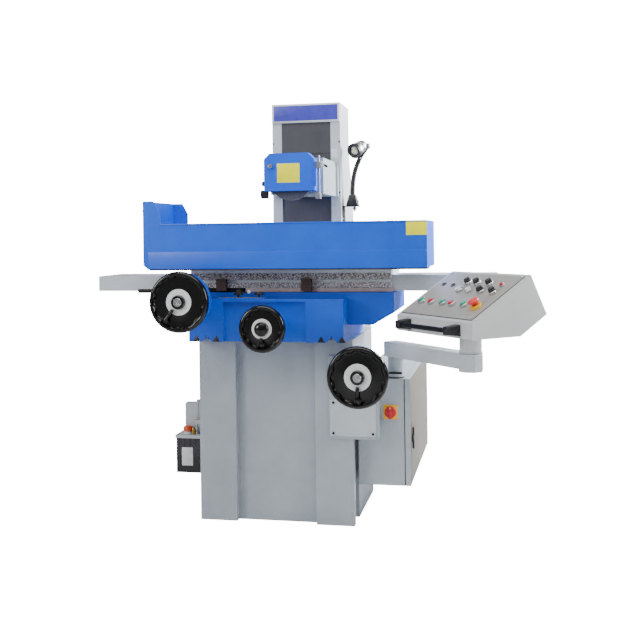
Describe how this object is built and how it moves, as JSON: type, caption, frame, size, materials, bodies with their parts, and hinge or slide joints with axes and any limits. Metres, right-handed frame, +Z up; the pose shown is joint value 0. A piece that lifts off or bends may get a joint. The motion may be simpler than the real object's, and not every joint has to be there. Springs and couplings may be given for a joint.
{
  "type": "surface grinder",
  "caption": "Horizontal-spindle surface grinder: cast base and column, saddle and table with splash guard, wheel head, handwheels, side cabinet and swinging control console.",
  "frame": {"origin": "on the floor under the base, on its centre line, where the front block meets the rear block", "axes": "+X to the operator's right along the table, +Y back from the operator to the column, +Z up"},
  "size_m": [1.8964, 1.699, 1.842],
  "materials": {
    "machine_grey": "semi-gloss textured enamel",
    "machine_blue": "gloss enamel",
    "dark_sheet": "satin black enamel",
    "board_grey": "satin enamel",
    "ground_steel": "ground",
    "raw_iron": "scraped and ground",
    "black_phenolic": "polished",
    "black_plastic": "satin",
    "red_plastic": "gloss",
    "green_plastic": "gloss",
    "white_plastic": "gloss",
    "panel_metal": "anodised",
    "abrasive": "coarse bonded grit",
    "dog_iron": "dark brown, oiled",
    "tank_plastic": "smoky, translucent",
    "orange_plastic": "gloss",
    "lamp_metal": "cast, satin",
    "console_paint": "fine textured enamel"
  },
  "bodies": {
    "frame": {"base_casting": "machine_grey", "column_casting": "machine_grey", "column_name_board": "board_grey", "column_covers_fixed": "dark_sheet", "feed_gear_case": "machine_grey", "feed_gear_cover": "machine_grey", "electrical_cabinet": "machine_grey", "console_post": "machine_grey", "lamp_bracket": "black_plastic", "lamp_neck": "black_plastic", "oil_tank": "tank_plastic", "lubricator_pump": "white_plastic"},
    "cabinet_door": {"cabinet_door": "machine_grey"},
    "door_handle": {"door_handle": "black_plastic"},
    "main_switch": {"main_switch_knob": "red_plastic"},
    "post_clamp": {"post_clamp_lever": "black_plastic"},
    "arm": {"console_arm": "machine_grey"},
    "console": {"console_body": "console_paint", "console_panel": "panel_metal", "console_handle": "black_plastic"},
    "lamp_head": {"lamp_head": "lamp_metal"},
    "filler_cap": {"filler_cap": "orange_plastic"},
    "saddle": {"saddle_casting": "machine_blue", "table_wheel_housing": "machine_blue"},
    "reversing_lever": {"reversing_lever": "ground_steel"},
    "flow_knob": {"flow_knob": "black_plastic"},
    "table": {"table_casting": "raw_iron", "way_covers": "machine_grey", "magnetic_chuck": "ground_steel", "splash_guard": "machine_blue"},
    "dog_left": {"table_dog_left": "dog_iron"},
    "dog_right": {"table_dog_right": "dog_iron"},
    "head": {"head_casting": "machine_grey", "head_covers": "dark_sheet", "wheel_guard": "machine_blue", "coolant_nozzle": "machine_blue"},
    "middle_cover": {"column_cover_middle": "dark_sheet"},
    "spindle": {"spindle": "ground_steel", "grinding_wheel": "abrasive", "wheel_flange": "ground_steel"},
    "guard_door": {"guard_door": "machine_blue"},
    "table_handwheel": {"table_handwheel": "black_phenolic"},
    "table_grip": {"table_handwheel_grip": "black_phenolic"},
    "cross_handwheel": {"cross_handwheel": "black_phenolic"},
    "cross_grip": {"cross_handwheel_grip": "black_phenolic"},
    "head_handwheel": {"head_handwheel": "black_phenolic"},
    "head_grip": {"head_handwheel_grip": "black_phenolic"},
    "emergency_stop": {"emergency_stop": "red_plastic"},
    "table_start": {"table_start_button": "green_plastic"},
    "table_stop": {"table_stop_button": "red_plastic"},
    "wheel_start": {"wheel_start_button": "green_plastic"},
    "wheel_stop": {"wheel_stop_button": "red_plastic"},
    "pump_start": {"pump_start_button": "green_plastic"},
    "head_up": {"head_up_button": "white_plastic"},
    "head_down": {"head_down_button": "white_plastic"},
    "table_mode_selector": {"table_mode_selector": "black_plastic"},
    "magnet_selector": {"magnet_selector": "black_plastic"},
    "feed_selector": {"feed_selector": "black_plastic"},
    "coolant_selector": {"coolant_selector": "black_plastic"},
    "lamp_selector": {"lamp_selector": "black_plastic"}
  },
  "joints": [
    {"name": "saddle_slide", "type": "slide", "parent": "frame", "child": "saddle", "axis": [0, 1, 0], "range_m": [0, 0.27]},
    {"name": "table_slide", "type": "slide", "parent": "saddle", "child": "table", "axis": [1, 0, 0], "range_m": [-0.34, 0.22]},
    {"name": "head_slide", "type": "slide", "parent": "frame", "child": "head", "axis": [0, 0, 1], "range_m": [-0.21, 0.06]},
    {"name": "middle_cover_slide", "type": "slide", "parent": "frame", "child": "middle_cover", "axis": [0, 0, 1], "range_m": [-0.105, 0.03]},
    {"name": "spindle_spin", "type": "hinge", "parent": "head", "child": "spindle", "pos_m": [0.01, -0.245, 1.455], "axis": [0, 1, 0], "continuous": true},
    {"name": "guard_door_hinge", "type": "hinge", "parent": "head", "child": "guard_door", "pos_m": [0.1314, -0.29, 1.455], "axis": [0, 0, 1], "range_deg": [0, 100]},
    {"name": "table_handwheel_turn", "type": "hinge", "parent": "saddle", "child": "table_handwheel", "pos_m": [-0.309, -0.846, 0.942], "axis": [0, 1, 0], "range_deg": [-2060, 1340]},
    {"name": "table_grip_fold", "type": "hinge", "parent": "table_handwheel", "child": "table_grip", "pos_m": [-0.36286, -0.866, 0.87052], "axis": [0.7986, 0, -0.6018], "range_deg": [0, 90]},
    {"name": "cross_handwheel_turn", "type": "hinge", "parent": "saddle", "child": "cross_handwheel", "pos_m": [0.027, -0.846, 0.839], "axis": [0, 1, 0], "range_deg": [-10, 19460]},
    {"name": "cross_grip_fold", "type": "hinge", "parent": "cross_handwheel", "child": "cross_grip", "pos_m": [0.027, -0.866, 0.7785], "axis": [1, 0, 0], "range_deg": [0, 90]},
    {"name": "head_handwheel_turn", "type": "hinge", "parent": "frame", "child": "head_handwheel", "pos_m": [0.389, -0.786, 0.649], "axis": [0, 1, 0], "range_deg": [-17300, 60500]},
    {"name": "head_grip_fold", "type": "hinge", "parent": "head_handwheel", "child": "head_grip", "pos_m": [0.389, -0.806, 0.56], "axis": [1, 0, 0], "range_deg": [0, 90]},
    {"name": "cabinet_door_hinge", "type": "hinge", "parent": "frame", "child": "cabinet_door", "pos_m": [0.541, 0.326, 0.38], "axis": [0, 0, 1], "range_deg": [0, 110]},
    {"name": "door_handle_turn", "type": "hinge", "parent": "cabinet_door", "child": "door_handle", "pos_m": [0.557, -0.43, 0.38], "axis": [1, 0, 0], "range_deg": [0, 90]},
    {"name": "main_switch_turn", "type": "hinge", "parent": "frame", "child": "main_switch", "pos_m": [0.476, -0.487, 0.462], "axis": [0, 1, 0], "range_deg": [0, 90]},
    {"name": "post_clamp_turn", "type": "hinge", "parent": "frame", "child": "post_clamp", "pos_m": [0.496, -0.494, 0.625], "axis": [0, 1, 0], "range_deg": [-20, 20]},
    {"name": "arm_swivel", "type": "hinge", "parent": "frame", "child": "arm", "pos_m": [0.496, -0.45, 0.69], "axis": [0, 0, 1], "range_deg": [-28, 0]},
    {"name": "console_swivel", "type": "hinge", "parent": "arm", "child": "console", "pos_m": [0.821, -0.81, 0.75], "axis": [0, 0, 1], "range_deg": [-60, 60]},
    {"name": "table_start_press", "type": "slide", "parent": "console", "child": "table_start", "axis": [-0.3819, -0.332, 0.8625], "range_m": [-0.003, 0], "stiffness_N_per_m": 400},
    {"name": "table_stop_press", "type": "slide", "parent": "console", "child": "table_stop", "axis": [-0.3819, -0.332, 0.8625], "range_m": [-0.003, 0], "stiffness_N_per_m": 400},
    {"name": "wheel_start_press", "type": "slide", "parent": "console", "child": "wheel_start", "axis": [-0.3819, -0.332, 0.8625], "range_m": [-0.003, 0], "stiffness_N_per_m": 400},
    {"name": "wheel_stop_press", "type": "slide", "parent": "console", "child": "wheel_stop", "axis": [-0.3819, -0.332, 0.8625], "range_m": [-0.003, 0], "stiffness_N_per_m": 400},
    {"name": "pump_start_press", "type": "slide", "parent": "console", "child": "pump_start", "axis": [-0.3819, -0.332, 0.8625], "range_m": [-0.003, 0], "stiffness_N_per_m": 400},
    {"name": "head_up_press", "type": "slide", "parent": "console", "child": "head_up", "axis": [-0.3819, -0.332, 0.8625], "range_m": [-0.003, 0], "stiffness_N_per_m": 400},
    {"name": "head_down_press", "type": "slide", "parent": "console", "child": "head_down", "axis": [-0.3819, -0.332, 0.8625], "range_m": [-0.003, 0], "stiffness_N_per_m": 400},
    {"name": "table_mode_selector_turn", "type": "hinge", "parent": "console", "child": "table_mode_selector", "pos_m": [0.86289, -0.89584, 0.98749], "axis": [-0.3819, -0.332, 0.8625], "range_deg": [-45, 45]},
    {"name": "magnet_selector_turn", "type": "hinge", "parent": "console", "child": "magnet_selector", "pos_m": [0.9075, -0.94716, 0.98749], "axis": [-0.3819, -0.332, 0.8625], "range_deg": [-45, 45]},
    {"name": "feed_selector_turn", "type": "hinge", "parent": "console", "child": "feed_selector", "pos_m": [0.81408, -0.77396, 1.0128], "axis": [-0.3819, -0.332, 0.8625], "range_deg": [-45, 45]},
    {"name": "coolant_selector_turn", "type": "hinge", "parent": "console", "child": "coolant_selector", "pos_m": [0.84951, -0.81472, 1.0128], "axis": [-0.3819, -0.332, 0.8625], "range_deg": [-45, 45]},
    {"name": "lamp_selector_turn", "type": "hinge", "parent": "console", "child": "lamp_selector", "pos_m": [0.89543, -0.86755, 1.0128], "axis": [-0.3819, -0.332, 0.8625], "range_deg": [-45, 45]},
    {"name": "emergency_stop_press", "type": "slide", "parent": "console", "child": "emergency_stop", "axis": [-0.3819, -0.332, 0.8625], "range_m": [-0.006, 0]},
    {"name": "lamp_head_turn", "type": "hinge", "parent": "frame", "child": "lamp_head", "pos_m": [0.293, 0.2, 1.628], "axis": [0, 0, 1], "range_deg": [-60, 30]},
    {"name": "filler_cap_turn", "type": "hinge", "parent": "frame", "child": "filler_cap", "pos_m": [-0.482, -0.273, 0.332], "axis": [0, 0, 1], "range_deg": [0, 270]},
    {"name": "reversing_lever_turn", "type": "hinge", "parent": "saddle", "child": "reversing_lever", "pos_m": [-0.13, -0.628, 0.96], "axis": [0, 0, 1], "range_deg": [-25, 25]},
    {"name": "flow_knob_turn", "type": "hinge", "parent": "saddle", "child": "flow_knob", "pos_m": [-0.043, -0.628, 0.957], "axis": [0, 0, 1], "range_deg": [0, 270]},
    {"name": "dog_left_slide", "type": "slide", "parent": "table", "child": "dog_left", "axis": [1, 0, 0], "range_m": [-0.11, 0.15]},
    {"name": "dog_right_slide", "type": "slide", "parent": "table", "child": "dog_right", "axis": [1, 0, 0], "range_m": [-0.15, 0.3]}
  ],
  "couplings": [
    {"joint": "table_handwheel_turn", "follows": "table_slide", "rad_per_m": 104.72},
    {"joint": "cross_handwheel_turn", "follows": "saddle_slide", "rad_per_m": 1256.6},
    {"joint": "head_handwheel_turn", "follows": "head_slide", "rad_per_m": -5026.5},
    {"joint": "middle_cover_slide", "follows": "head_slide", "ratio": 0.5}
  ]
}
